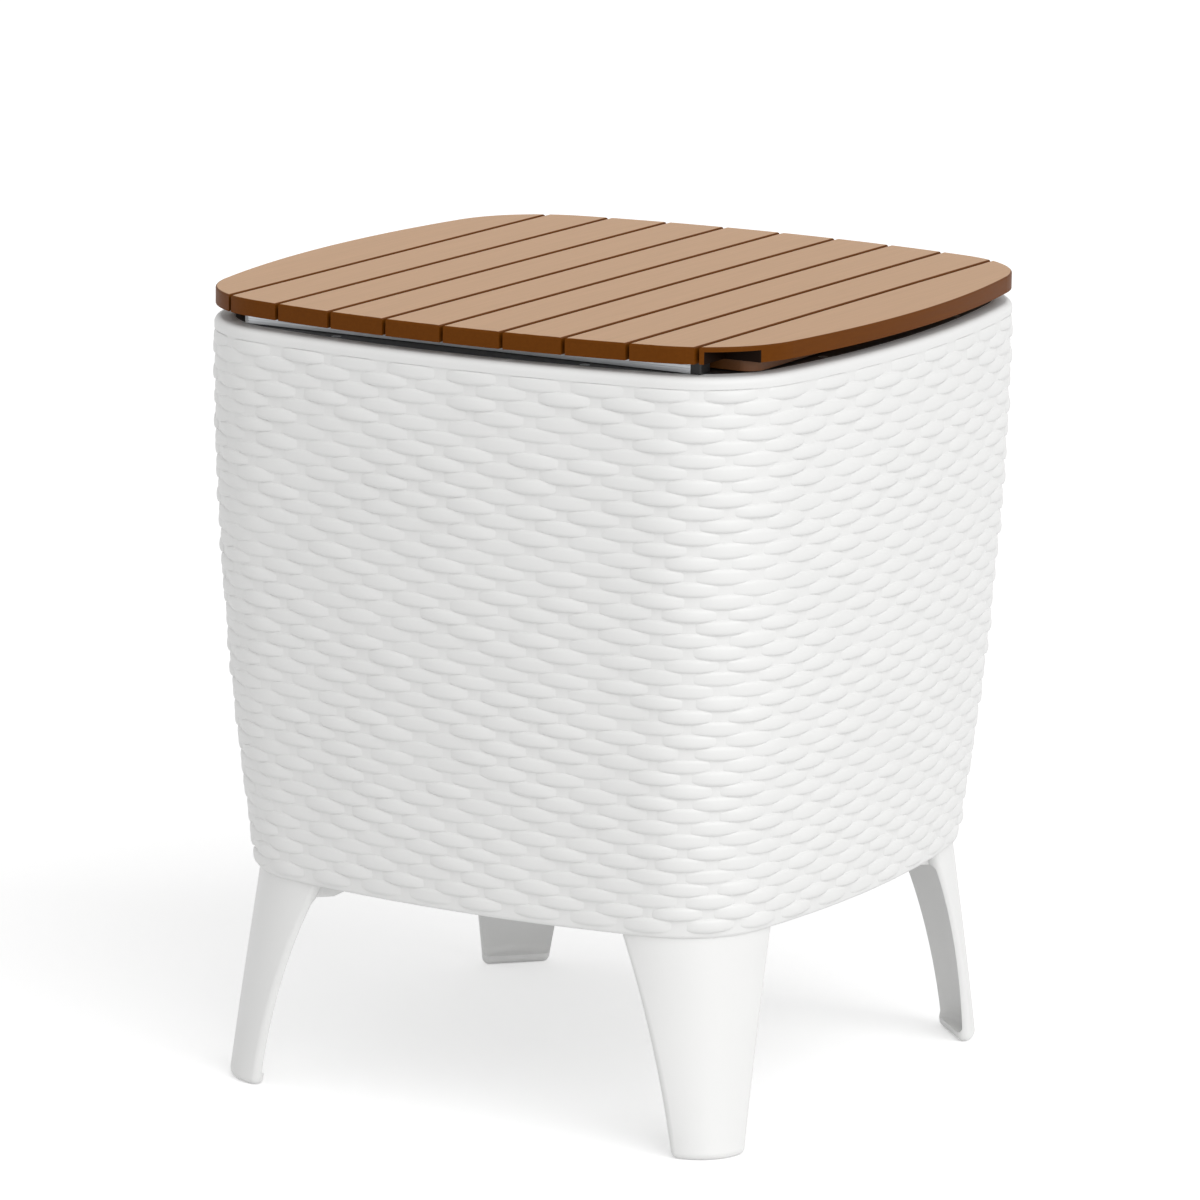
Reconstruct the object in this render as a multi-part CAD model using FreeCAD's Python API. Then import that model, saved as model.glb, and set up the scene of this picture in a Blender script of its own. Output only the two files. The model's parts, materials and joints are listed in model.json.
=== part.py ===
import FreeCAD, Part
import math
import os

# Cooler table: a woven-look tub body on four splayed legs under a slatted top.
# Millimetres. Origin on the floor under the middle, +Z up, front towards -Y.
# The top slides towards +X on two rails, and a plug under the body drains the tub.

# Heights
table_height = 576.5
leg_height = 154.5
tub_floor_gap = 37.0

# Tabletop: it follows the body's rim, a little inside it
top_setback = 1.0
slat_count = 10
outer_slat_width = 55.9
slat_gap = 3.0
slat_thickness = 12.0
slat_skin = 3.6
slat_wall = 3.0
slat_rib = 2.4
slat_cell_length = 44.0
slat_edge_round = 1.5
slat_boss_radius = 4.5

# Finger pocket in the front end of the right outer slat
pocket_width = 28.0
pocket_depth = 17.0

# Rails: a channel open below, with an inner flange for screws
rail_height = 8.5
rail_width = 14.0
rail_wall = 1.5
rail_slot = 5.0
rail_flange_width = 10.0
rail_flange_thickness = 2.0
rail_setback = 9.6
rail_groove = 0.6
rail_groove_drops = (2.4, 4.6, 6.2)
rail_over_rim = 0.5
rail_inset = 18.5
rail_to_panel = 2.0
top_travel = 200.0

# Stops in the rail ends
stop_length = 16.0
open_cap_length = 3.0
closed_block_length = 8.0

# Glide shoes: a plate let into the tub flange and a T head inside the rail
shoe_length = 28.0
shoe_corner = 1.4
shoe_plate_length = 46.0
shoe_plate_width = 12.0
shoe_plate_thickness = 3.0
shoe_screw_spacing = 36.0

# Lid panel under the slats, a shallow tray round a foam slab
panel_lap = 8.0
panel_reach = 26.4
panel_corner = 12.0
panel_wall = 2.5
panel_over_rim = 1.0
panel_post_radius = 5.0
panel_screw_row = 120.0
foam_slack = 0.5

# Outer shell
shell_rim_half = 246.0
shell_rim_side_radius = 885.0
shell_rim_corner = 86.0
shell_draw_in = 28.5
shell_base_side_radius = 814.0
shell_base_corner = 71.0
shell_wall = 3.5
shell_rim_round = 5.0
shell_base_round = 3.0
rim_band_height = 8.3
rim_band_proud = 0.8
rim_lip = 15.0
ledge_width = 9.0
ledge_thickness = 7.0
support_ring_radius = 70.0
support_ring_wall = 3.0

# Inner tub
tub_flange_thickness = 6.0
tub_taper = 16.0
tub_side_radius = 640.0
tub_corner = 55.0
tub_wall = 3.0
tub_floor_round = 18.0
tub_mouth_round = 2.0
tub_screw_offset = 100.0

# Legs
leg_inset = 2.4
leg_top_thickness = 33.6
leg_waist_height = 69.5
leg_waist_thickness = 20.0
leg_waist_width = 91.0
leg_splay = 23.3
foot_thickness = 19.0
foot_width = 63.0
foot_round = 5.0
leg_edge_round = 5.5
leg_wall = 4.0
leg_sole = 7.0
leg_hollow_round = 5.0
tenon_height = 18.0
tenon_inset = 5.0
socket_wall = 3.0
leg_flange_reach = 30.0
leg_flange_width = 92.0
leg_flange_depth = 12.0
leg_flange_flat = 8.0
leg_flange_tip = 3.0
leg_screw_reach = 15.0
leg_screw_spread = 28.0
leg_boss_radius = 5.0
leg_boss_height = 14.0

# Drain
drain_bore = 11.0
drain_wall = 4.7
drain_flange_radius = 26.0
drain_flange_thickness = 2.5
gasket_thickness = 1.5
nut_flats = 44.0
nut_thickness = 9.0
spout_drop = 26.0
plug_stem = 20.0
plug_collar_radius = 15.5
plug_collar_thickness = 4.0
plug_tab_width = 18.0
plug_tab_thickness = 5.0
plug_tab_length = 14.0
plug_tab_round = 2.0

# Screws: shank radius, head radius and head height of each kind
small_shank = 1.5
small_head = 3.0
small_head_height = 1.6
flush_shank = 1.8
flush_head = 3.6
flush_head_height = 2.0
leg_shank = 2.0
leg_head = 4.5
leg_head_height = 3.0
drive_slot = 1.0
drive_depth = 1.0
drive_margin = 1.2
thread_in_slat = 6.0
thread_in_shoe_boss = 14.0
thread_in_leg_boss = 12.0
shoe_boss_radius = 4.5
boss_end = 2.0

# Clearances
screw_clearance = 0.05
head_clearance = 0.3
seat_clearance = 0.5
slide_clearance = 0.3
plug_clearance = 0.06
stop_fit = 0.05

# Heights and places that follow from the sizes above
UP = FreeCAD.Vector(0, 0, 1)
shell_base_half = shell_rim_half - shell_draw_in
top_half = shell_rim_half - top_setback
top_side_radius = shell_rim_side_radius - top_setback
top_corner_radius = shell_rim_corner - top_setback
slat_width = (2 * top_half - 2 * outer_slat_width - (slat_count - 1) * slat_gap) / (slat_count - 2)
slat_pitch = slat_width + slat_gap
slat_bottom = table_height - slat_thickness
rail_bottom = slat_bottom - rail_height
rim_z = rail_bottom - rail_over_rim
panel_bottom = rim_z + panel_over_rim
base_z = leg_height
base_top = base_z + shell_wall
base_middle = base_z + shell_wall / 2
tub_floor_z = base_top + tub_floor_gap
tub_under = tub_floor_z - tub_wall
flange_under = rim_z - tub_flange_thickness
ledge_under = flange_under - ledge_thickness
tub_screw_length = tub_flange_thickness + ledge_thickness - boss_end

flange_half = shell_rim_half - rim_lip - seat_clearance
flange_side_radius = shell_rim_side_radius - rim_lip - seat_clearance
flange_corner = shell_rim_corner - rim_lip - seat_clearance
rail_middle_y = flange_half - rail_inset - rail_width / 2
rail_inner_y = rail_middle_y - rail_width / 2
rail_flange_y = rail_inner_y - rail_flange_width
rail_screw_y = rail_inner_y - rail_flange_width / 2
panel_half_y = rail_flange_y - rail_to_panel
tub_half = panel_half_y - panel_lap
outer_gap_x = (slat_count / 2 - 1) * slat_pitch
panel_half_x = outer_gap_x + panel_reach
rail_half = outer_gap_x - rail_setback
channel_width = rail_width - 2 * rail_wall
channel_height = rail_height - 2 * rail_wall
drain_tube = drain_bore + drain_wall

stop_reach = stop_length + slide_clearance + shoe_length / 2
shoe_places = (top_travel - rail_half + stop_reach, rail_half - stop_reach)


def vec(x, y, z):
    return FreeCAD.Vector(x, y, z)


def box(x0, x1, y0, y1, z0, z1):
    return Part.makeBox(x1 - x0, y1 - y0, z1 - z0, vec(x0, y0, z0))


def rod(radius, x, y, z0, z1):
    return Part.makeCylinder(radius, z1 - z0, vec(x, y, z0), UP)


def ring(inner, outer, z0, z1):
    return rod(outer, 0, 0, z0, z1).cut(rod(inner, 0, 0, z0, z1))


def cone(radius_low, radius_high, x, y, z0, z1):
    return Part.makeCone(radius_low, radius_high, z1 - z0, vec(x, y, z0), UP)


def fuse(shapes):
    return shapes[0].multiFuse(shapes[1:]).removeSplitter()


def edges_at(shape, z):
    """Edges that lie wholly in the level plane at height z."""
    flat = []
    for edge in shape.Edges:
        if abs(edge.BoundBox.ZMin - z) < 1e-4 and abs(edge.BoundBox.ZMax - z) < 1e-4:
            flat.append(edge)
    return flat


def save(name, shape):
    shape.exportStep("parts/%s.step" % name)


# Bowed square: four sides on a large radius, joined by tangent corner arcs

def corner_centre(half, side_radius, corner):
    """How far along x, and against y, a corner arc's centre stands."""
    offset = side_radius - half
    span = side_radius - corner
    return (math.sqrt(2 * span * span - offset * offset) - offset) / 2


def side_y(half, side_radius, x):
    """Distance of a bowed side from the centre line, at x along it."""
    return math.sqrt(side_radius * side_radius - x * x) - (side_radius - half)


def outline(half, side_radius, corner, z):
    centre = corner_centre(half, side_radius, corner)
    offset = side_radius - half
    span = side_radius - corner
    join_x = side_radius * centre / span
    join_y = side_radius * (centre + offset) / span - offset
    tip = centre + corner / math.sqrt(2)
    edges = []
    for quarter in range(4):
        turn = FreeCAD.Rotation(UP, 90 * quarter)
        side = [vec(-join_x, -join_y, z), vec(0, -half, z), vec(join_x, -join_y, z)]
        bend = [vec(join_x, -join_y, z), vec(tip, -tip, z), vec(join_y, -join_x, z)]
        for points in (side, bend):
            edges.append(Part.Arc(*[turn.multVec(p) for p in points]).toShape())
    return Part.Wire(edges)


def prism(half, side_radius, corner, z0, z1):
    return Part.Face(outline(half, side_radius, corner, z0)).extrude(vec(0, 0, z1 - z0))


def shell_outline(z, inset):
    """The body's section: upright at the rim and drawn in faster towards the base."""
    t = (rim_z - z) / (rim_z - base_z)
    share = t * t
    half = shell_rim_half - rim_band_proud - share * (shell_rim_half - rim_band_proud - shell_base_half)
    side_radius = shell_rim_side_radius + share * (shell_base_side_radius - shell_rim_side_radius)
    corner = shell_rim_corner + share * (shell_base_corner - shell_rim_corner)
    return outline(half - inset, side_radius - inset, corner - inset, z)


def rim_prism(inset, z0, z1):
    half = shell_rim_half - inset
    return prism(half, shell_rim_side_radius - inset, shell_rim_corner - inset, z0, z1)


def shell_solid(z0, z1, inset, steps=5):
    levels = [z0 + (z1 - z0) * i / (steps - 1) for i in range(steps)]
    return Part.makeLoft([shell_outline(z, inset) for z in levels], True, False)


# Screws and the holes that take them

def cross_recess(head, x, y, z0, z1):
    """Cross in a screw's head for the driver."""
    reach = head - drive_margin
    half = drive_slot / 2
    long_x = box(x - reach, x + reach, y - half, y + half, z0, z1)
    return long_x.fuse(box(x - half, x + half, y - reach, y + reach, z0, z1))


def pan_screw(shank, head, head_height, x, y, seat_z, length):
    """Pan-head screw pointing up, its head under seat_z."""
    low = seat_z - head_height
    screw = fuse([rod(head, x, y, low, seat_z), rod(shank, x, y, seat_z, seat_z + length)])
    return screw.cut(cross_recess(head, x, y, low, low + drive_depth))


def flush_space(x, y, face_z, length, grow):
    """Space of a countersunk screw that points down from face_z."""
    neck = face_z - flush_head_height
    head = cone(flush_shank + grow, flush_head + grow, x, y, neck, face_z)
    return fuse([head, rod(flush_shank + grow, x, y, face_z - length, neck)])


def flush_screw(x, y, face_z, length):
    """Countersunk screw pointing down, its head level with face_z."""
    screw = flush_space(x, y, face_z, length, 0)
    return screw.cut(cross_recess(flush_head, x, y, face_z - drive_depth, face_z))


# Legs, made on the +X axis and turned to their corners

base_centre = math.sqrt(2) * corner_centre(shell_base_half, shell_base_side_radius, shell_base_corner)
leg_top_radius = shell_base_corner - leg_inset
leg_top_apex = base_centre + leg_top_radius
leg_top_chord = leg_top_apex - leg_top_thickness
foot_apex = leg_top_apex + leg_splay
waist_apex = foot_apex - leg_splay * leg_waist_height / base_z
leg_turns = {"front_right": -45, "back_right": 45, "back_left": 135, "front_left": -135}


def bow_section(centre, radius, chord, corner, z):
    """Section of a leg: an outer arc closed by a straight inner chord, with round corners."""
    along = (chord + corner - centre) / (radius - corner)
    across = math.sqrt(1 - along * along)
    reach = across * (radius - corner)
    lean = math.atan2(across, along)
    middle = (lean + math.pi) / 2
    out = [vec(centre + radius * along, side * radius * across, z) for side in (-1, 1)]
    bend = [vec(chord + corner + corner * math.cos(middle), side * (reach + corner * math.sin(middle)), z)
            for side in (-1, 1)]
    back = [vec(chord, side * reach, z) for side in (-1, 1)]
    return Part.Wire([
        Part.Arc(out[0], vec(centre + radius, 0, z), out[1]).toShape(),
        Part.Arc(out[1], bend[1], back[1]).toShape(),
        Part.makeLine(back[1], back[0]),
        Part.Arc(back[0], bend[0], out[0]).toShape(),
    ])


def bow_radius(width, rise):
    """Radius of the arc that rises so far over a chord of that width."""
    return (width ** 2 / 4 + rise ** 2) / (2 * rise)


def leg_loft(inset, chord_shift, corner):
    """A leg's blade from foot to base: its outer line is straight, and it thins below its top."""
    levels = [
        (foot_apex, bow_radius(foot_width, foot_thickness), foot_thickness, 0),
        (waist_apex, bow_radius(leg_waist_width, leg_waist_thickness), leg_waist_thickness, leg_waist_height),
        (leg_top_apex, leg_top_radius, leg_top_thickness, base_z),
    ]
    sections = []
    for apex, radius, thickness, z in levels:
        chord = apex - thickness + chord_shift
        sections.append(bow_section(apex - radius, radius - inset, chord, corner, z))
    return Part.makeLoft(sections, True, False)


def top_block(inset, z0, z1):
    section = bow_section(base_centre, leg_top_radius - inset, leg_top_chord + inset, leg_edge_round, z0)
    return Part.Face(section).extrude(vec(0, 0, z1 - z0))


def leg_screw_places():
    x = leg_top_chord - leg_screw_reach
    return [(x, -leg_screw_spread), (x, leg_screw_spread)]


leg_screw_seat = base_z - leg_flange_depth + leg_head_height + boss_end


def leg_hollow(z0, z1):
    """Space behind a leg's outer wall, open towards the middle of the table."""
    corner = 1.5 * leg_hollow_round
    hollow = leg_loft(leg_wall, -2 * corner, corner)
    hollow = hollow.common(box(0, 2 * foot_apex, -foot_apex, foot_apex, z0, z1))
    return hollow.makeFillet(leg_hollow_round, edges_at(hollow, z0) + edges_at(hollow, z1))


def make_leg():
    blade = leg_loft(0, 0, leg_edge_round)
    blade = blade.makeFillet(foot_round, edges_at(blade, 0))
    root = leg_top_chord + leg_wall
    under = base_z - leg_flange_depth
    points = [
        vec(root, 0, base_z),
        vec(leg_top_chord - leg_flange_reach, 0, base_z),
        vec(leg_top_chord - leg_flange_reach, 0, base_z - leg_flange_tip),
        vec(leg_top_chord - leg_flange_flat, 0, under),
        vec(root, 0, under),
    ]
    flange = Part.Face(Part.makePolygon(points + points[:1])).extrude(vec(0, leg_flange_width, 0))
    flange.translate(vec(0, -leg_flange_width / 2, 0))
    tenon = top_block(tenon_inset, base_z, base_z + tenon_height)
    leg = fuse([blade, flange, tenon]).cut(leg_hollow(leg_sole, under))
    leg = leg.cut(top_block(tenon_inset + leg_wall, base_z, base_z + tenon_height))
    for x, y in leg_screw_places():
        leg = leg.cut(rod(leg_shank + screw_clearance, x, y, 0, base_z))
        leg = leg.cut(rod(leg_head + head_clearance, x, y, 0, leg_screw_seat))
    return leg


def turned(shape, degrees):
    copy = shape.copy()
    copy.rotate(vec(0, 0, 0), UP, degrees)
    return copy


# Outer shell: band and wall outside, hollow inside, ledge for the tub, sockets for the legs

def tub_screw_places():
    ring = flange_half - ledge_width / 2
    out = side_y(ring, flange_side_radius - ledge_width / 2, tub_screw_offset)
    places = []
    for quarter in range(4):
        turn = FreeCAD.Rotation(UP, 90 * quarter)
        for x in (-tub_screw_offset, tub_screw_offset):
            spot = turn.multVec(vec(x, -out, 0))
            places.append((spot.x, spot.y))
    return places


def make_shell():
    band_low = rim_z - rim_band_height
    wall = shell_solid(base_z, (band_low + rim_z - shell_rim_round) / 2, 0)
    wall = wall.makeFillet(shell_base_round, edges_at(wall, base_z))
    band = rim_prism(0, band_low, rim_z)
    band = band.makeFillet(shell_rim_round, edges_at(band, rim_z))
    shell = wall.fuse(band)
    shell = shell.cut(shell_solid(base_top, ledge_under, shell_wall))
    shell = shell.cut(rim_prism(rim_lip + ledge_width, ledge_under, rim_z))
    shell = shell.cut(rim_prism(rim_lip, flange_under, rim_z))
    extras = []
    pocket_inset = tenon_inset - seat_clearance
    pocket_top = base_z + tenon_height + seat_clearance
    for degrees in leg_turns.values():
        socket = top_block(pocket_inset - socket_wall, base_middle, pocket_top + socket_wall)
        extras.append(turned(socket, degrees))
        for x, y in leg_screw_places():
            boss = rod(leg_boss_radius, x, y, base_middle, base_top + leg_boss_height)
            extras.append(turned(boss, degrees))
    support_bore = support_ring_radius - support_ring_wall
    extras.append(ring(support_bore, support_ring_radius, base_middle, tub_under))
    shell = fuse([shell] + extras)
    for degrees in leg_turns.values():
        shell = shell.cut(turned(top_block(pocket_inset, base_z, pocket_top), degrees))
        for x, y in leg_screw_places():
            hole = rod(leg_shank + screw_clearance, x, y, base_z, base_top + leg_boss_height - boss_end)
            shell = shell.cut(turned(hole, degrees))
    shell = shell.cut(rod(drain_tube + seat_clearance, 0, 0, base_z, base_top))
    for x, y in tub_screw_places():
        shell = shell.cut(flush_space(x, y, rim_z, tub_screw_length, screw_clearance))
    # the ledge gives way to the tub's bosses that stand near the corners
    for x, y in shoe_screw_places():
        shell = shell.cut(rod(shoe_boss_radius + seat_clearance, x, y, ledge_under, flange_under))
    return shell


# Inner tub: a tapered liner with a wide flange that carries the glide shoes

def shoe_screw_places():
    places = []
    for side in (-1, 1):
        for x in shoe_places:
            for end in (-1, 1):
                places.append((x + end * shoe_screw_spacing / 2, side * rail_middle_y))
    return places


def shoe_plate(x, y, grow):
    half_length = shoe_plate_length / 2 + grow
    half_width = shoe_plate_width / 2 + grow
    return box(x - half_length, x + half_length, y - half_width, y + half_width,
               rim_z - shoe_plate_thickness, rim_z)


def tub_solid(grow, floor_z):
    top = outline(tub_half + grow, tub_side_radius + grow, tub_corner + grow, rim_z)
    drawn_in = grow - tub_taper
    low = outline(tub_half + drawn_in, tub_side_radius + drawn_in, tub_corner + grow, floor_z)
    solid = Part.makeLoft([low, top], True, True)
    return solid.makeFillet(tub_floor_round + grow, edges_at(solid, floor_z))


def within_mouth(edge):
    reach = tub_half + seat_clearance
    box_of_edge = edge.BoundBox
    low = min(box_of_edge.XMin, box_of_edge.YMin)
    high = max(box_of_edge.XMax, box_of_edge.YMax)
    return low > -reach and high < reach


def make_tub():
    flange = prism(flange_half, flange_side_radius, flange_corner, flange_under, rim_z)
    pieces = [flange, tub_solid(tub_wall, tub_under)]
    boss_low = rim_z - thread_in_shoe_boss - boss_end
    for x, y in shoe_screw_places():
        pieces.append(rod(shoe_boss_radius, x, y, boss_low, flange_under))
    tub = fuse(pieces)
    tub = tub.cut(tub_solid(0, tub_floor_z))
    tub = tub.makeFillet(tub_mouth_round, [e for e in edges_at(tub, rim_z) if within_mouth(e)])
    for y in (-rail_middle_y, rail_middle_y):
        for x in shoe_places:
            tub = tub.cut(shoe_plate(x, y, screw_clearance))
    for x, y in shoe_screw_places():
        tub = tub.cut(rod(flush_shank + screw_clearance, x, y, rim_z - thread_in_shoe_boss, rim_z))
    for x, y in tub_screw_places():
        tub = tub.cut(flush_space(x, y, rim_z, tub_screw_length, screw_clearance))
    return tub.cut(rod(drain_tube + seat_clearance, 0, 0, tub_under, tub_floor_z))


# Glide shoe: plate flush with the flange, neck through the rail's slot, head inside the channel

def make_shoe(x, y):
    neck = rail_slot / 2 - slide_clearance
    head = channel_width / 2 - slide_clearance
    half = shoe_length / 2
    head_low = rail_bottom + rail_wall + slide_clearance
    head_high = slat_bottom - rail_wall - slide_clearance
    plate = shoe_plate(x, y, 0)
    stem = box(x - half, x + half, y - neck, y + neck, rim_z - shoe_plate_thickness, head_high)
    cap = box(x - half, x + half, y - head, y + head, head_low, head_high)
    upright = [e for e in cap.Edges if e.BoundBox.ZLength > channel_height / 2]
    cap = cap.makeFillet(shoe_corner, upright)
    shoe = fuse([plate, stem, cap])
    for end in (-1, 1):
        spot = x + end * shoe_screw_spacing / 2
        shoe = shoe.cut(flush_space(spot, y, rim_z, thread_in_shoe_boss, screw_clearance))
    return shoe


# Slats: bowed-square plate cut into strips, each hollow and ribbed underneath

def slat_span(index):
    """Left and right edge of a slat; the outer two run out to the bowed sides."""
    left = (index - slat_count / 2) * slat_pitch + slat_gap / 2
    right = left + slat_width
    if index == 0:
        left = -2 * top_half
    if index == slat_count - 1:
        right = 2 * top_half
    return left, right


def slat_screw_x(index):
    if index == 0:
        return -outer_gap_x - panel_reach / 2
    if index == slat_count - 1:
        return outer_gap_x + panel_reach / 2
    return (index + 0.5 - slat_count / 2) * slat_pitch


def rail_slats():
    """The slats that the rails reach, all but the outer two."""
    return range(1, slat_count - 1)


def slat_screw_ys(index):
    rows = [-panel_screw_row, panel_screw_row]
    if index in rail_slats():
        rows += [-rail_screw_y, rail_screw_y]
    return rows


def make_slat(index):
    left, right = slat_span(index)
    reach = 2 * top_half
    plate = prism(top_half, top_side_radius, top_corner_radius, slat_bottom, table_height)
    slat = plate.common(box(left, right, -reach, reach, slat_bottom, table_height))
    slat = slat.makeFillet(slat_edge_round, edges_at(slat, table_height))
    core = prism(top_half - slat_wall, top_side_radius - slat_wall, top_corner_radius - slat_wall,
                 slat_bottom, table_height - slat_skin)
    step = slat_cell_length + slat_rib
    cells = int(reach / step) + 1
    for cell in range(-cells, cells + 1):
        low = cell * step - slat_cell_length / 2
        high = low + slat_cell_length
        room = box(left + slat_wall, right - slat_wall, low, high, slat_bottom, table_height)
        slat = slat.cut(core.common(room))
    x = slat_screw_x(index)
    ys = slat_screw_ys(index)
    bosses = [rod(slat_boss_radius, x, y, slat_bottom, table_height - slat_skin) for y in ys]
    slat = fuse([slat] + bosses)
    for y in ys:
        slat = slat.cut(rod(small_shank + screw_clearance, x, y, slat_bottom, slat_bottom + thread_in_slat))
    return slat


def cut_pocket(slat):
    """Opens the right outer slat's front end for the fingers, closed behind by a wall."""
    left = slat_span(slat_count - 1)[0] + slat_wall
    right = left + pocket_width
    centre = corner_centre(top_half, top_side_radius, top_corner_radius)
    middle = (left + right) / 2
    front = -centre - math.sqrt(top_corner_radius ** 2 - (middle - centre) ** 2)
    back = front + pocket_depth
    roof = table_height - slat_skin
    frame = box(left - slat_wall, right + slat_wall, -2 * top_half, back + slat_wall, slat_bottom, roof)
    plate = prism(top_half, top_side_radius, top_corner_radius, slat_bottom, roof)
    slat = fuse([slat, plate.common(frame)])
    return slat.cut(box(left, right, -2 * top_half, back, slat_bottom, roof))


# Rails and their end stops, made for the front and mirrored for the back

def make_rail():
    front = -rail_inner_y - rail_width
    rail = box(-rail_half, rail_half, front, -rail_inner_y, rail_bottom, slat_bottom)
    flange_low = slat_bottom - rail_flange_thickness
    rail = fuse([rail, box(-rail_half, rail_half, -rail_inner_y, -rail_flange_y, flange_low, slat_bottom)])
    middle = -rail_middle_y
    half = channel_width / 2
    rail = rail.cut(box(-rail_half, rail_half, middle - half, middle + half,
                        rail_bottom + rail_wall, slat_bottom - rail_wall))
    rail = rail.cut(box(-rail_half, rail_half, middle - rail_slot / 2, middle + rail_slot / 2,
                        rail_bottom, rail_bottom + rail_wall))
    for drop in rail_groove_drops:
        z = slat_bottom - drop
        rail = rail.cut(box(-rail_half, rail_half, front, front + rail_groove, z - rail_groove, z))
    for index in rail_slats():
        x = slat_screw_x(index)
        rail = rail.cut(rod(small_shank + screw_clearance, x, -rail_screw_y, flange_low, slat_bottom))
    return rail


def make_stop(end, head_length):
    """Plug in a rail's end: a tongue inside the channel and a head that covers the section."""
    middle = -rail_middle_y
    half = channel_width / 2 - stop_fit
    tongue = box(rail_half - stop_length, rail_half, middle - half, middle + half,
                 rail_bottom + rail_wall + stop_fit, slat_bottom - rail_wall - stop_fit)
    head = box(rail_half, rail_half + head_length, middle - rail_width / 2, middle + rail_width / 2,
               rail_bottom, slat_bottom)
    outer = [e for e in head.Edges if e.BoundBox.XMin > rail_half and e.BoundBox.ZLength > rail_height / 2]
    head = head.makeFillet(min(head_length / 2, rail_wall), outer)
    stop = fuse([tongue, head])
    if end < 0:
        stop = stop.mirror(vec(0, 0, 0), vec(1, 0, 0))
    return stop


def behind(shape):
    return shape.mirror(vec(0, 0, 0), vec(0, 1, 0))


# Lid panel: tray with screw posts, and the foam slab that lies in it

def panel_box(inset, z0, z1):
    half_x = panel_half_x - inset
    half_y = panel_half_y - inset
    solid = box(-half_x, half_x, -half_y, half_y, z0, z1)
    upright = [e for e in solid.Edges if e.BoundBox.ZLength > (z1 - z0) / 2]
    return solid.makeFillet(panel_corner - inset, upright)


def panel_screw_places():
    return [(slat_screw_x(i), y) for i in range(slat_count) for y in (-panel_screw_row, panel_screw_row)]


panel_floor = panel_bottom + panel_wall
panel_screw_seat = panel_bottom + small_head_height + head_clearance


def make_panel():
    panel = panel_box(0, panel_bottom, slat_bottom).cut(panel_box(panel_wall, panel_floor, slat_bottom))
    posts = [rod(panel_post_radius, x, y, panel_bottom, slat_bottom) for x, y in panel_screw_places()]
    panel = fuse([panel] + posts)
    for x, y in panel_screw_places():
        panel = panel.cut(rod(small_shank + screw_clearance, x, y, panel_bottom, slat_bottom))
        panel = panel.cut(rod(small_head + head_clearance, x, y, panel_bottom, panel_screw_seat))
    return panel


def make_foam():
    foam = panel_box(panel_wall + foam_slack, panel_floor, slat_bottom - foam_slack)
    for x, y in panel_screw_places():
        foam = foam.cut(rod(panel_post_radius + foam_slack, x, y, panel_floor, slat_bottom))
    return foam


# Drain: spout through both floors, clamped by a nut, closed by a push-in plug

gasket_top = tub_floor_z + gasket_thickness
spout_low = base_z - spout_drop


def make_spout():
    flange_top = gasket_top + drain_flange_thickness
    flange = rod(drain_flange_radius, 0, 0, gasket_top, flange_top)
    spout = fuse([flange, rod(drain_tube, 0, 0, spout_low, gasket_top)])
    return spout.cut(rod(drain_bore, 0, 0, spout_low, flange_top))


def make_nut():
    reach = nut_flats / math.sqrt(3)
    low = base_z - nut_thickness
    turns = [math.radians(60 * i) for i in range(6)]
    points = [vec(reach * math.cos(turn), reach * math.sin(turn), low) for turn in turns]
    nut = Part.Face(Part.makePolygon(points + points[:1])).extrude(vec(0, 0, nut_thickness))
    return nut.cut(rod(drain_tube + screw_clearance, 0, 0, low, base_z))


def make_plug():
    collar_low = spout_low - plug_collar_thickness
    stem = rod(drain_bore - plug_clearance, 0, 0, collar_low, spout_low + plug_stem)
    collar = rod(plug_collar_radius, 0, 0, collar_low, spout_low)
    half = plug_tab_width / 2
    thin = plug_tab_thickness / 2
    tab_low = collar_low - plug_tab_length
    tab = box(-half, half, -thin, thin, tab_low, collar_low)
    tab = tab.makeFillet(min(plug_tab_round, plug_tab_thickness * 0.4), edges_at(tab, tab_low))
    return fuse([stem, collar, tab])


os.makedirs("parts", exist_ok=True)

save("outer_shell", make_shell())
save("cooler_tub", make_tub())

leg = make_leg()
leg_screw_length = base_top - leg_screw_seat + thread_in_leg_boss
leg_screws = []
for corner, degrees in leg_turns.items():
    save("leg_" + corner, turned(leg, degrees))
    for x, y in leg_screw_places():
        screw = pan_screw(leg_shank, leg_head, leg_head_height, x, y, leg_screw_seat, leg_screw_length)
        leg_screws.append(turned(screw, degrees))
save("leg_screws", Part.makeCompound(leg_screws))

tub_screws = [flush_screw(x, y, rim_z, tub_screw_length) for x, y in tub_screw_places()]
save("tub_screws", Part.makeCompound(tub_screws))

for x, along in zip(shoe_places, ("middle", "right")):
    save("glide_shoe_front_" + along, make_shoe(x, -rail_middle_y))
    save("glide_shoe_back_" + along, make_shoe(x, rail_middle_y))
shoe_screws = [flush_screw(x, y, rim_z, thread_in_shoe_boss) for x, y in shoe_screw_places()]
save("shoe_screws", Part.makeCompound(shoe_screws))

save("drain_spout", make_spout())
save("drain_gasket", ring(drain_tube + seat_clearance, drain_flange_radius, tub_floor_z, gasket_top))
save("drain_nut", make_nut())
save("drain_plug", make_plug())

for index in range(slat_count):
    slat = make_slat(index)
    if index == slat_count - 1:
        slat = cut_pocket(slat)
    save("slat_%02d" % (index + 1), slat)

rail = make_rail()
save("front_rail", rail)
save("back_rail", behind(rail))
for name, end, length in (("closed_stop", 1, closed_block_length), ("open_stop", -1, open_cap_length)):
    stop = make_stop(end, length)
    save("front_rail_" + name, stop)
    save("back_rail_" + name, behind(stop))

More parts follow.
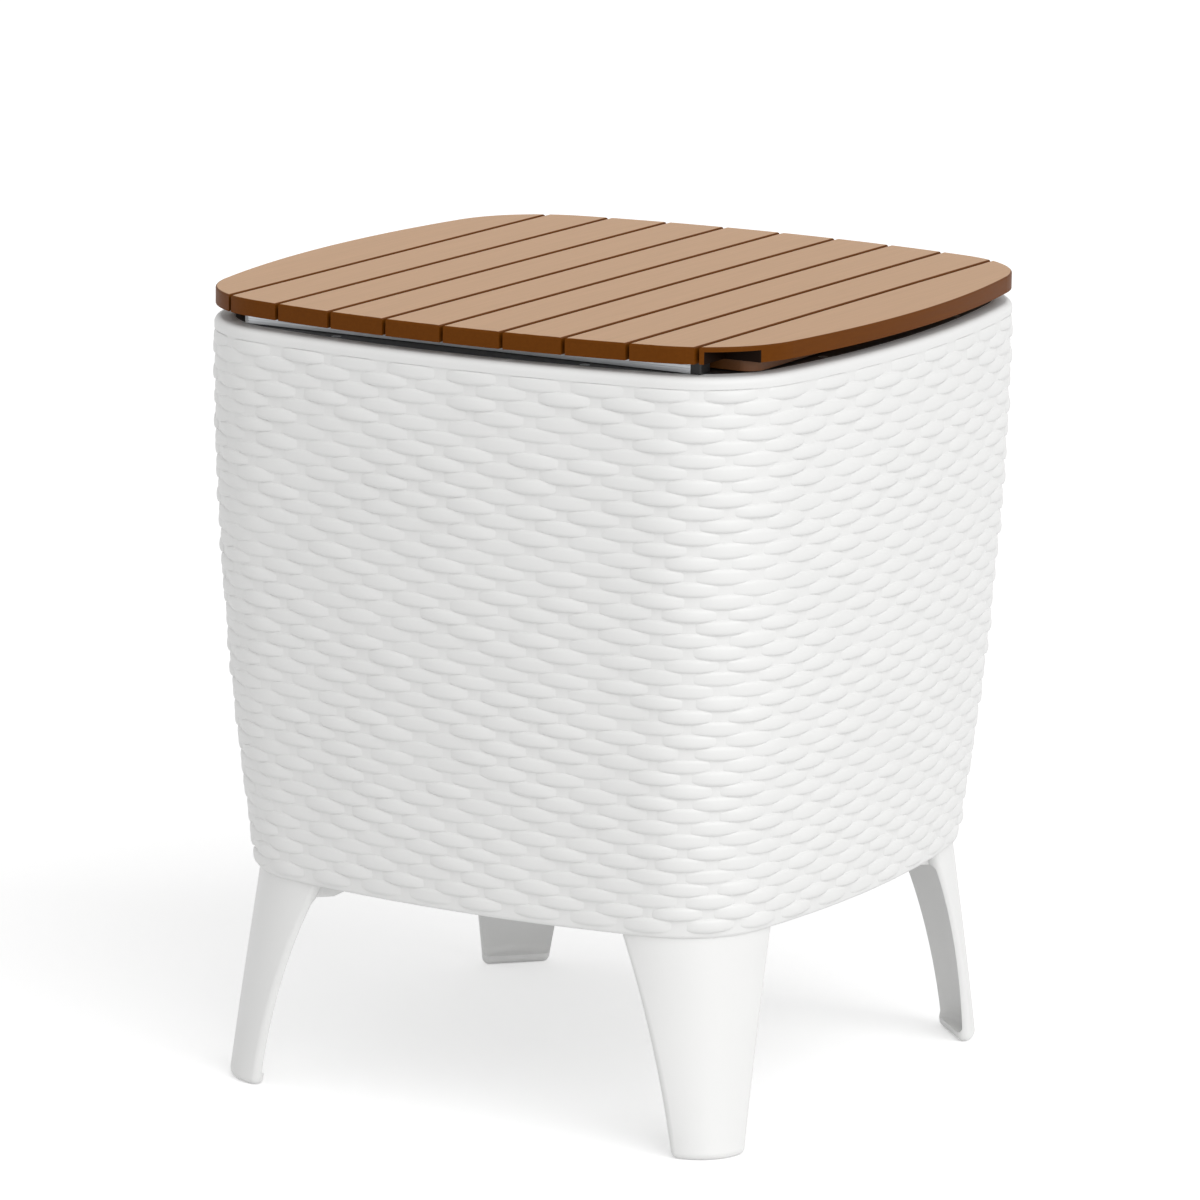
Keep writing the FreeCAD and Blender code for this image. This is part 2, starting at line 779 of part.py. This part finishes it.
rail_screws = []
flange_seat = slat_bottom - rail_flange_thickness
for index in rail_slats():
    for y in (-rail_screw_y, rail_screw_y):
        rail_screws.append(pan_screw(small_shank, small_head, small_head_height, slat_screw_x(index), y,
                                     flange_seat, rail_flange_thickness + thread_in_slat))
save("rail_screws", Part.makeCompound(rail_screws))

save("lid_panel", make_panel())
save("lid_insulation", make_foam())
panel_screw_length = slat_bottom - panel_screw_seat + thread_in_slat
panel_screws = []
for x, y in panel_screw_places():
    panel_screws.append(pan_screw(small_shank, small_head, small_head_height, x, y,
                                  panel_screw_seat, panel_screw_length))
save("panel_screws", Part.makeCompound(panel_screws))
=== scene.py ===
import json
import math

import bpy
import numpy as np
from mathutils import Matrix, Vector


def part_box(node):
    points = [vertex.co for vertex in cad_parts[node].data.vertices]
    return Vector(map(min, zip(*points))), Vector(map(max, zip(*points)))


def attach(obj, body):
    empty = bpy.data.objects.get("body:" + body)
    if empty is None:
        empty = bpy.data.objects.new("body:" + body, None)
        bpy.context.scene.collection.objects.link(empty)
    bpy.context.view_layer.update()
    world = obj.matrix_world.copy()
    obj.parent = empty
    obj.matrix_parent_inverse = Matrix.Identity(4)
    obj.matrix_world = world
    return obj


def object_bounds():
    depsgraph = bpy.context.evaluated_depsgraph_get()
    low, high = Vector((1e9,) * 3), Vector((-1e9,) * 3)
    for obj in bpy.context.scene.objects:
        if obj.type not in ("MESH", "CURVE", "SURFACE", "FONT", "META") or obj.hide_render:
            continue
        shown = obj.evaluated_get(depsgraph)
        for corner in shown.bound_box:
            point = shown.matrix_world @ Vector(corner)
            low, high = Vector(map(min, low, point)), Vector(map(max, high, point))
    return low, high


# Cooler table in studio light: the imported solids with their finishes, and the woven relief
# of the body modelled reed by reed over its wall. Metres, the same frame as the solids.

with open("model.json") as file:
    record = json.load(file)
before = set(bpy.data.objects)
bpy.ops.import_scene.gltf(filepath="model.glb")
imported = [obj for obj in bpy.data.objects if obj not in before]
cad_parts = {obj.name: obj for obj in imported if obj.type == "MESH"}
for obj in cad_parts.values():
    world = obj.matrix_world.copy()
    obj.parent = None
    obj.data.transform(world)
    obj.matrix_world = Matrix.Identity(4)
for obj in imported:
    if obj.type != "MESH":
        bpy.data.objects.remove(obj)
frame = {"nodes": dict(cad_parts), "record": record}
cad_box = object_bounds()
nodes = frame["nodes"]
MM = 0.001

# The body's wall: a square with bowed sides and round corners that draws in downwards.
# Half its width and the radii of its sides and corners, at the rim and at the base
shell_low, shell_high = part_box("outer_shell")
BASE_Z = shell_low[2]
RIM_Z = shell_high[2]
WALL_RIM = {"half": 245.2 * MM, "side": 885.0 * MM, "corner": 86.0 * MM}
WALL_BASE = {"half": 217.5 * MM, "side": 814.0 * MM, "corner": 71.0 * MM}
BAND_FOOT_Z = RIM_Z - 8.3 * MM

# The slats' tops: their painted sheen, a paler colour, fades out on the round of the edges, just below
# the flat
TABLE_TOP_Z = cad_box[1][2]
PAINTED_SHEEN_FROM_Z = TABLE_TOP_Z - 0.2 * MM
PAINTED_SHEEN_FULLY_Z = TABLE_TOP_Z - 0.05 * MM

# The finger pocket in the front end of the right outer slat, a little larger than its hollow; its inside
# gets painted shade
POCKET_X = 206.1 * MM
POCKET_HALF_WIDTH = 14.2 * MM
POCKET_BACK_Y = -189.0 * MM
POCKET_ROOF_Z = TABLE_TOP_Z - 3.5 * MM

# The weave: rows of leaf-shaped reeds, each row set half a repeat from the next
REEDS_PER_SIDE = 9
ROW_PAIRS = 21
ROW_HEIGHT = 9.025 * MM
FIRST_ROW_Z = BASE_Z + 9.1 * MM
QUARTER_LENGTH = 428.305 * MM
REPEAT = QUARTER_LENGTH / REEDS_PER_SIDE
GROOVE = 0.5 * MM

# One reed: its height at the ends is a share of that in the middle. A higher peak makes its crown
# more pointed, the droop lowers the crest, and a higher dive makes its ends fall in sooner.
# The unevenness is the most that a reed may differ: shares of its size, shifts and a slope
REED_HALF_LENGTH = 19.4 * MM
REED_HALF_HEIGHT = 5.5 * MM
REED_END_SHARE = 0.40
REED_CREST = 2.0 * MM
REED_PEAK = 0.75
REED_DROOP = 0.15
REED_DIVE = 1.8
REED_SINK = 0.35 * MM
REED_END_SINK = 0.04 * MM
REED_UNEVEN = {"crest": 0.40, "height": 0.08, "along": 2.0 * MM, "up": 0.40 * MM, "tilt": 0.026}
REED_SEED = 7
REED_SMOOTH_ANGLE = math.radians(60)

# Light levels, of which 1 shows a surface in its own colour, and the key light's direction
WORLD_LIGHT = 0.60
FLOOR_LIFT = 0.36
KEY_LEVEL = 0.488
KEY_TOWARDS = (0.36, -0.19, 0.27)
KEY_SPREAD = math.radians(60)
FLOOR_WIDTH = 60.0

# Camera: angles in radians, its distance from the middle of the tabletop and its shifts from
# the line through it; the focal length in pixels of the square picture
CAMERA_YAW = 0.51863
CAMERA_PITCH = 0.20999
CAMERA_ROLL = 0.01372
CAMERA_DISTANCE = 5.1065
CAMERA_RIGHT = -0.00971
CAMERA_UP = -0.23129
FOCAL_PIXELS = 7136.9
PICTURE_PIXELS = 1200
SENSOR_MM = 36.0

# Sockets of a Mix node that mixes colours
SHARE, FIRST, SECOND, MIXED = 0, 6, 7, 2
POLYPROPYLENE_IOR = 1.49


# Small helpers

def linear(code):
    """An sRGB hex colour as the linear values that a shader takes."""
    values = []
    for i in (0, 2, 4):
        c = int(code[i:i + 2], 16) / 255
        values.append(c / 12.92 if c <= 0.04045 else ((c + 0.055) / 1.055) ** 2.4)
    return (*values, 1.0)


def add(tree, kind, settings=None, links=None):
    """Adds a node, sets its inputs or its own options, and links sockets into it."""
    node = tree.nodes.new(kind)
    for key, value in (settings or {}).items():
        if isinstance(key, int) or key in node.inputs:
            node.inputs[key].default_value = value
        else:
            setattr(node, key, value)
    for key, socket in (links or {}).items():
        tree.links.new(socket, node.inputs[key])
    return node


def new_material(name):
    """A material with a Principled shader alone, its node tree and its Object coordinates."""
    material = bpy.data.materials.new(name)
    material.use_nodes = True
    tree = material.node_tree
    tree.nodes.clear()
    shader = add(tree, "ShaderNodeBsdfPrincipled")
    add(tree, "ShaderNodeOutputMaterial", None, {"Surface": shader.outputs["BSDF"]})
    place = add(tree, "ShaderNodeTexCoord").outputs["Object"]
    return material, tree, shader, place


def per_metre(millimetres):
    """Texture scale whose features are about that many millimetres across."""
    return 1000.0 / millimetres


def only(*objects):
    """Selects these objects alone and makes the first one active."""
    bpy.ops.object.select_all(action="DESELECT")
    for obj in objects:
        obj.select_set(True)
    bpy.context.view_layer.objects.active = objects[0]


def places(mesh):
    """The mesh's points as an array of rows."""
    flat = np.zeros(len(mesh.vertices) * 3)
    mesh.vertices.foreach_get("co", flat)
    return flat.reshape(-1, 3)


def put_places(mesh, points):
    """Moves the mesh's points to the rows of an array."""
    mesh.vertices.foreach_set("co", np.asarray(points, float).ravel())
    mesh.update()


# Finishes

def moulded_plastic(name, colour, dark, roughness, grain_mm, depth_mm):
    """Moulded plastic or rubber: even opaque colour, a fine moulded grain that breaks up the
    highlight, and slow cloudy changes of tone about 60 mm across."""
    material, tree, shader, place = new_material(name)
    cloud = add(tree, "ShaderNodeTexNoise", {"Scale": per_metre(60), "Detail": 3.0},
                {"Vector": place})
    tint = add(tree, "ShaderNodeMix", {"data_type": "RGBA", FIRST: linear(dark), SECOND: linear(colour)},
               {SHARE: cloud.outputs["Fac"]})
    tree.links.new(tint.outputs[MIXED], shader.inputs["Base Color"])
    grain = add(tree, "ShaderNodeTexNoise", {"Scale": per_metre(grain_mm), "Detail": 2.0},
                {"Vector": place})
    gloss = add(tree, "ShaderNodeMapRange", {"To Min": roughness - 0.05, "To Max": roughness + 0.07},
                {"Value": grain.outputs["Fac"]})
    tree.links.new(gloss.outputs["Result"], shader.inputs["Roughness"])
    bump = add(tree, "ShaderNodeBump", {"Strength": 0.35, "Distance": depth_mm * MM},
               {"Height": grain.outputs["Fac"]})
    tree.links.new(bump.outputs["Normal"], shader.inputs["Normal"])
    shader.inputs["IOR"].default_value = POLYPROPYLENE_IOR
    return material


def pocket_shade_mask(tree, where):
    """1 inside the finger pocket, where its painted shade goes, and 0 elsewhere."""
    across = add(tree, "ShaderNodeMath", {"operation": "COMPARE", 1: POCKET_X, 2: POCKET_HALF_WIDTH},
                 {0: where.outputs["X"]})
    before = add(tree, "ShaderNodeMath", {"operation": "LESS_THAN", 1: POCKET_BACK_Y},
                 {0: where.outputs["Y"]})
    below = add(tree, "ShaderNodeMath", {"operation": "LESS_THAN", 1: POCKET_ROOF_Z},
                {0: where.outputs["Z"]})
    corner = add(tree, "ShaderNodeMath", {"operation": "MULTIPLY"},
                 {0: across.outputs[0], 1: before.outputs[0]})
    return add(tree, "ShaderNodeMath", {"operation": "MULTIPLY"},
               {0: corner.outputs[0], 1: below.outputs[0]}).outputs[0]


def slat_polypropylene():
    """Teak-brown polypropylene slats: the tops carry a painted sheen, a paler colour than the plastic's
    own brown, in faint lengthwise streaks; the moulded sides keep the deeper brown of the plastic,
    and the finger pocket's inside is painted almost black as painted shade."""
    material, tree, shader, place = new_material("brown_polypropylene_slats_painted_sheen")
    # streaks about 2 mm wide and 90 mm long, along the slats
    streak_size = (per_metre(2.0), per_metre(90), per_metre(2.0))
    drawn = add(tree, "ShaderNodeMapping", {"Scale": streak_size}, {"Vector": place})
    streak = add(tree, "ShaderNodeTexNoise", {"Scale": 1.0, "Detail": 4.0},
                 {"Vector": drawn.outputs[0]})
    # the tops' colour: the plastic's brown with a painted sheen on it, paler, in faint streaks
    top_with_painted_sheen = add(tree, "ShaderNodeMix",
                  {"data_type": "RGBA", FIRST: linear("BA9471"), SECOND: linear("CEA887")},
                  {SHARE: streak.outputs["Fac"]})
    smooth = add(tree, "ShaderNodeMix",
                 {"data_type": "RGBA", FIRST: linear("5D3104"), SECOND: linear("6B3A0A")},
                 {SHARE: streak.outputs["Fac"]})
    where = add(tree, "ShaderNodeSeparateXYZ", None, {0: place})
    # the painted sheen covers the flat tops and fades out on the round of their edges
    painted_sheen_share = add(tree, "ShaderNodeMapRange", {"From Min": PAINTED_SHEEN_FROM_Z, "From Max": PAINTED_SHEEN_FULLY_Z},
                {"Value": where.outputs["Z"]})
    outside = add(tree, "ShaderNodeMix", {"data_type": "RGBA"},
                  {SHARE: painted_sheen_share.outputs["Result"], FIRST: smooth.outputs[MIXED],
                   SECOND: top_with_painted_sheen.outputs[MIXED]})
    # the finger pocket's inside is painted almost black: painted shade
    tint = add(tree, "ShaderNodeMix", {"data_type": "RGBA", SECOND: linear("180B04")},
               {SHARE: pocket_shade_mask(tree, where), FIRST: outside.outputs[MIXED]})
    tree.links.new(tint.outputs[MIXED], shader.inputs["Base Color"])
    gloss = add(tree, "ShaderNodeMapRange", {"To Min": 0.40, "To Max": 0.52},
                {"Value": streak.outputs["Fac"]})
    tree.links.new(gloss.outputs["Result"], shader.inputs["Roughness"])
    bump = add(tree, "ShaderNodeBump", {"Strength": 0.25, "Distance": 0.06 * MM},
               {"Height": streak.outputs["Fac"]})
    tree.links.new(bump.outputs["Normal"], shader.inputs["Normal"])
    shader.inputs["IOR"].default_value = POLYPROPYLENE_IOR
    # the shader's own reflection is kept low, as the sheen of the tops is painted into their colour
    shader.inputs["Specular IOR Level"].default_value = 0.06
    return material


def extruded_aluminium():
    """Satin-anodised aluminium rail: grey metal with fine draw lines along its length."""
    material, tree, shader, place = new_material("satin_anodised_aluminium_rail")
    # draw lines about 0.4 mm apart and 250 mm long, along the rail
    line_size = (per_metre(250), per_metre(0.4), per_metre(0.4))
    drawn = add(tree, "ShaderNodeMapping", {"Scale": line_size}, {"Vector": place})
    lines = add(tree, "ShaderNodeTexNoise", {"Scale": 1.0, "Detail": 2.0},
                {"Vector": drawn.outputs[0]})
    tint = add(tree, "ShaderNodeMix",
               {"data_type": "RGBA", FIRST: linear("ABAEB1"), SECOND: linear("CED0D3")},
               {SHARE: lines.outputs["Fac"]})
    tree.links.new(tint.outputs[MIXED], shader.inputs["Base Color"])
    gloss = add(tree, "ShaderNodeMapRange", {"To Min": 0.24, "To Max": 0.40},
                {"Value": lines.outputs["Fac"]})
    tree.links.new(gloss.outputs["Result"], shader.inputs["Roughness"])
    shader.inputs["Metallic"].default_value = 1.0
    return material


def expanded_foam():
    """Expanded polystyrene: white beads about 4 mm across with thin dull seams between them."""
    material, tree, shader, place = new_material("expanded_polystyrene_beads")
    beads = add(tree, "ShaderNodeTexVoronoi", {"Scale": per_metre(4.0)}, {"Vector": place})
    tint = add(tree, "ShaderNodeMix",
               {"data_type": "RGBA", FIRST: linear("F4F4F2"), SECOND: linear("D6D6D2")},
               {SHARE: beads.outputs["Distance"]})
    tree.links.new(tint.outputs[MIXED], shader.inputs["Base Color"])
    bump = add(tree, "ShaderNodeBump", {"Strength": 0.5, "Distance": 0.4 * MM, "invert": True},
               {"Height": beads.outputs["Distance"]})
    tree.links.new(bump.outputs["Normal"], shader.inputs["Normal"])
    shader.inputs["Roughness"].default_value = 0.85
    return material


def zinc_plated_steel():
    """Zinc-plated screw steel: bright grey with small dull crystals about 0.8 mm across."""
    material, tree, shader, place = new_material("zinc_plated_steel_screws")
    spangle = add(tree, "ShaderNodeTexVoronoi", {"Scale": per_metre(0.8)}, {"Vector": place})
    tint = add(tree, "ShaderNodeMix",
               {"data_type": "RGBA", FIRST: linear("A9ACAE"), SECOND: linear("D2D4D5")},
               {SHARE: spangle.outputs["Distance"]})
    tree.links.new(tint.outputs[MIXED], shader.inputs["Base Color"])
    gloss = add(tree, "ShaderNodeMapRange", {"To Min": 0.25, "To Max": 0.45},
                {"Value": spangle.outputs["Distance"]})
    tree.links.new(gloss.outputs["Result"], shader.inputs["Roughness"])
    shader.inputs["Metallic"].default_value = 1.0
    return material


finishes = {
    "woven_resin": moulded_plastic("moulded_white_polypropylene_weave", "EBEBEA", "E6E6E5",
                                   roughness=0.42, grain_mm=1.2, depth_mm=0.03),
    "white_resin": moulded_plastic("moulded_white_polypropylene_legs", "EBEBEA", "E7E7E6",
                                   roughness=0.40, grain_mm=0.9, depth_mm=0.03),
    "liner_resin": moulded_plastic("moulded_graphite_polypropylene_liner", "242527", "1C1D1F",
                                   roughness=0.40, grain_mm=1.0, depth_mm=0.02),
    "brown_slat": slat_polypropylene(),
    "brown_panel": moulded_plastic("moulded_brown_polypropylene_panel", "6C4016", "5E350F",
                                   roughness=0.50, grain_mm=0.9, depth_mm=0.04),
    "rail_aluminium": extruded_aluminium(),
    "black_plastic": moulded_plastic("moulded_black_acetal", "19191A", "131314",
                                     roughness=0.45, grain_mm=0.8, depth_mm=0.02),
    "grey_resin": moulded_plastic("moulded_pale_grey_polypropylene", "C9CBCC", "BEC0C1",
                                  roughness=0.42, grain_mm=0.9, depth_mm=0.02),
    "black_rubber": moulded_plastic("moulded_black_rubber", "1D1D1D", "161616",
                                    roughness=0.68, grain_mm=0.5, depth_mm=0.04),
    "white_foam": expanded_foam(),
    "screw_steel": zinc_plated_steel(),
}

slot_of = {part["node"]: part["material_slot"] for part in frame["record"]["subparts"]}
for name, obj in nodes.items():
    obj.data.materials.clear()
    obj.data.materials.append(finishes[slot_of[name]])


# Weave

def wrapped(points):
    """Takes points on a flat sheet (along the wall, proud of it, height) on to the front wall."""
    along, proud, z = points[:, 0], points[:, 1], points[:, 2]
    drop = np.clip((RIM_Z - z) / (RIM_Z - BASE_Z), 0, 1) ** 2
    half, side, corner = (WALL_RIM[key] + drop * (WALL_BASE[key] - WALL_RIM[key])
                          for key in ("half", "side", "corner"))
    back = side - half
    span = side - corner
    pivot = (np.sqrt(2 * span ** 2 - back ** 2) - back) / 2
    turn = np.arcsin(pivot / span)
    quarter = 2 * side * turn + corner * (math.pi / 2 - 2 * turn)
    s = np.abs(along) / QUARTER_LENGTH * quarter
    on_side = s < side * turn
    angle = np.where(on_side, s / side, turn + (s - side * turn) / corner)
    x = np.where(on_side, side * np.sin(angle), pivot + corner * np.sin(angle))
    y = np.where(on_side, back - side * np.cos(angle), -pivot - corner * np.cos(angle))
    x += proud * np.sin(angle)
    y -= proud * np.cos(angle)
    return np.column_stack([np.sign(along) * x, y, z])


def apply_array(obj, count, step):
    """Repeats the object's mesh count times, step apart."""
    only(obj)
    array = obj.modifiers.new("repeat", "ARRAY")
    array.count = count
    array.use_relative_offset = False
    array.use_constant_offset = True
    array.constant_offset_displace = step
    bpy.ops.object.modifier_apply(modifier=array.name)


def shifted_copy(obj, step):
    """A copy with its own mesh, moved by step."""
    copy = obj.copy()
    copy.data = obj.data.copy()
    bpy.context.scene.collection.objects.link(copy)
    copy.data.transform(Matrix.Translation(step))
    return copy


def join(objects):
    """Joins the objects into the first one."""
    only(*objects)
    bpy.ops.object.join()
    return objects[0]


def make_reed():
    """One reed: a long low crown, fullest a little below its middle, that narrows and dives in at
    both ends, closed behind."""
    bpy.ops.object.select_all(action="DESELECT")
    bpy.ops.mesh.primitive_grid_add(x_subdivisions=10, y_subdivisions=6, size=2)
    reed = bpy.context.object
    u, v = places(reed.data)[:, :2].T
    along = np.sin(u * math.pi / 2) * REED_HALF_LENGTH
    swell = np.clip(np.cos(u * math.pi / 2), 0, 1)
    half_height = REED_HALF_HEIGHT * (REED_END_SHARE + (1 - REED_END_SHARE) * swell)
    height = np.sin(v * math.pi / 2) * half_height
    drooped = v + REED_DROOP * (1 - v ** 2)
    crown = np.clip(np.cos(drooped * math.pi / 2), 0, 1) ** REED_PEAK
    rim = np.maximum(np.abs(u), np.abs(v)) > 0.99
    proud = np.where(rim, -REED_SINK, REED_CREST * crown) * swell ** REED_DIVE - REED_END_SINK
    put_places(reed.data, np.column_stack([along, proud, height]))
    bpy.ops.object.mode_set(mode="EDIT")
    bpy.ops.mesh.select_all(action="DESELECT")
    bpy.ops.mesh.select_non_manifold()
    bpy.ops.mesh.edge_face_add()
    bpy.ops.mesh.select_all(action="SELECT")
    bpy.ops.mesh.normals_make_consistent(inside=False)
    bpy.ops.object.mode_set(mode="OBJECT")
    only(reed)
    bpy.ops.object.shade_smooth_by_angle(angle=REED_SMOOTH_ANGLE)
    return reed


def make_uneven(reeds, points_each):
    """Gives each reed its own slight swell, slope and shift, as in a moulding taken from cane."""
    draw = np.random.default_rng(REED_SEED)
    points = places(reeds.data).reshape(-1, points_each, 3)
    own = {key: size * draw.uniform(-1, 1, (len(points), 1)) for key, size in REED_UNEVEN.items()}
    along, _, up = np.moveaxis(points - points.mean(axis=1, keepdims=True), 2, 0)
    proud = points[:, :, 1]
    points[:, :, 1] = np.where(proud > 0, proud * (1 + own["crest"]), proud)
    points[:, :, 0] += own["along"]
    points[:, :, 2] += own["up"] + own["tilt"] * along + own["height"] * up
    put_places(reeds.data, points)


def make_side_panel():
    """The weave of one side, from the middle of one corner to the middle of the next."""
    reed = make_reed()
    points_each = len(reed.data.vertices)
    reed.data.transform(Matrix.Translation((-(REEDS_PER_SIDE // 2) * REPEAT, 0, FIRST_ROW_Z)))
    top_row = shifted_copy(reed, (REPEAT / 2, 0, 2 * ROW_PAIRS * ROW_HEIGHT))
    odd = shifted_copy(reed, (0, 0, ROW_HEIGHT))
    reed.data.transform(Matrix.Translation((REPEAT / 2, 0, 0)))
    reeds = join([reed, odd])
    apply_array(reeds, REEDS_PER_SIDE, (REPEAT, 0, 0))
    apply_array(reeds, ROW_PAIRS, (0, 0, 2 * ROW_HEIGHT))
    apply_array(top_row, REEDS_PER_SIDE, (REPEAT, 0, 0))
    reeds = join([reeds, top_row])
    make_uneven(reeds, points_each)
    # the highest row is cut off level under the rim band
    points = places(reeds.data)
    points[:, 2] = np.minimum(points[:, 2], BAND_FOOT_Z - GROOVE)
    put_places(reeds.data, wrapped(points))
    return reeds


front = make_side_panel()
panels = [front]
for quarter in range(1, 4):
    copy = shifted_copy(front, (0, 0, 0))
    copy.data.transform(Matrix.Rotation(quarter * math.pi / 2, 4, "Z"))
    panels.append(copy)
for panel, side in zip(panels, ("front", "right", "back", "left")):
    panel.name = "weave_" + side
    panel.data.materials.clear()
    panel.data.materials.append(finishes["woven_resin"])
    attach(panel, "body")


# Studio: white floor and surroundings, soft light

def seen_by_eye(tree):
    """1 for what the eye sees, straight or by way of metal or glass, and 0 for other light."""
    rays = add(tree, "ShaderNodeLightPath")
    mirrored = add(tree, "ShaderNodeMath", {"operation": "MAXIMUM"},
                   {0: rays.outputs["Is Camera Ray"], 1: rays.outputs["Is Glossy Ray"]})
    return add(tree, "ShaderNodeMath", {"operation": "MAXIMUM"},
               {0: mirrored.outputs[0], 1: rays.outputs["Is Transmission Ray"]}).outputs[0]


def make_floor():
    """Pale paper that takes the object's shadow, lifted to near white for the eye."""
    bpy.ops.object.select_all(action="DESELECT")
    bpy.ops.mesh.primitive_plane_add(size=FLOOR_WIDTH)
    floor = bpy.context.object
    floor.name = "studio_floor"
    material = bpy.data.materials.new("white_paper_floor")
    material.use_nodes = True
    tree = material.node_tree
    tree.nodes.clear()
    paper = add(tree, "ShaderNodeBsdfDiffuse", {"Color": linear("F0F0F0")})
    lift = add(tree, "ShaderNodeMath", {"operation": "MULTIPLY", 1: FLOOR_LIFT}, {0: seen_by_eye(tree)})
    glow = add(tree, "ShaderNodeEmission", {"Color": linear("FFFFFF")}, {"Strength": lift.outputs[0]})
    both = add(tree, "ShaderNodeAddShader", None, {0: paper.outputs[0], 1: glow.outputs[0]})
    add(tree, "ShaderNodeOutputMaterial", None, {"Surface": both.outputs[0]})
    floor.data.materials.append(material)


def make_world():
    """White to the eye; a weaker even light on the object."""
    world = bpy.data.worlds.new("studio_white")
    bpy.context.scene.world = world
    world.use_nodes = True
    tree = world.node_tree
    tree.nodes.clear()
    strength = add(tree, "ShaderNodeMapRange", {"To Min": WORLD_LIGHT, "To Max": 1.0},
                   {"Value": seen_by_eye(tree)})
    sky = add(tree, "ShaderNodeBackground", {"Color": linear("FFFFFF")},
              {"Strength": strength.outputs[0]})
    add(tree, "ShaderNodeOutputWorld", None, {"Surface": sky.outputs[0]})


def make_key_light():
    """A wide soft sun, high on the right."""
    data = bpy.data.lights.new("key_high_right", "SUN")
    data.energy = KEY_LEVEL * math.pi
    data.angle = KEY_SPREAD
    lamp = bpy.data.objects.new("key_high_right", data)
    bpy.context.scene.collection.objects.link(lamp)
    lamp.rotation_euler = Vector(KEY_TOWARDS).to_track_quat("Z", "Y").to_euler()


def make_camera():
    """The camera at the photograph's viewing angle."""
    back = Vector((math.sin(CAMERA_YAW) * math.cos(CAMERA_PITCH),
                   -math.cos(CAMERA_YAW) * math.cos(CAMERA_PITCH),
                   math.sin(CAMERA_PITCH)))
    right = Vector((math.cos(CAMERA_YAW), math.sin(CAMERA_YAW), 0))
    up = back.cross(right)
    x_axis = right * math.cos(CAMERA_ROLL) + up * math.sin(CAMERA_ROLL)
    y_axis = up * math.cos(CAMERA_ROLL) - right * math.sin(CAMERA_ROLL)
    data = bpy.data.cameras.new("photo_camera")
    data.sensor_width = SENSOR_MM
    data.sensor_fit = "HORIZONTAL"
    data.lens = FOCAL_PIXELS / PICTURE_PIXELS * SENSOR_MM
    camera = bpy.data.objects.new("photo_camera", data)
    bpy.context.scene.collection.objects.link(camera)
    aim = Vector((0, 0, TABLE_TOP_Z))
    place = aim + back * CAMERA_DISTANCE + right * CAMERA_RIGHT + up * CAMERA_UP
    turn = Matrix((x_axis, y_axis, back)).transposed().to_4x4()
    camera.matrix_world = Matrix.Translation(place) @ turn
    bpy.context.scene.camera = camera


make_floor()
make_world()
make_key_light()
make_camera()
bpy.context.scene.view_settings.view_transform = "Standard"
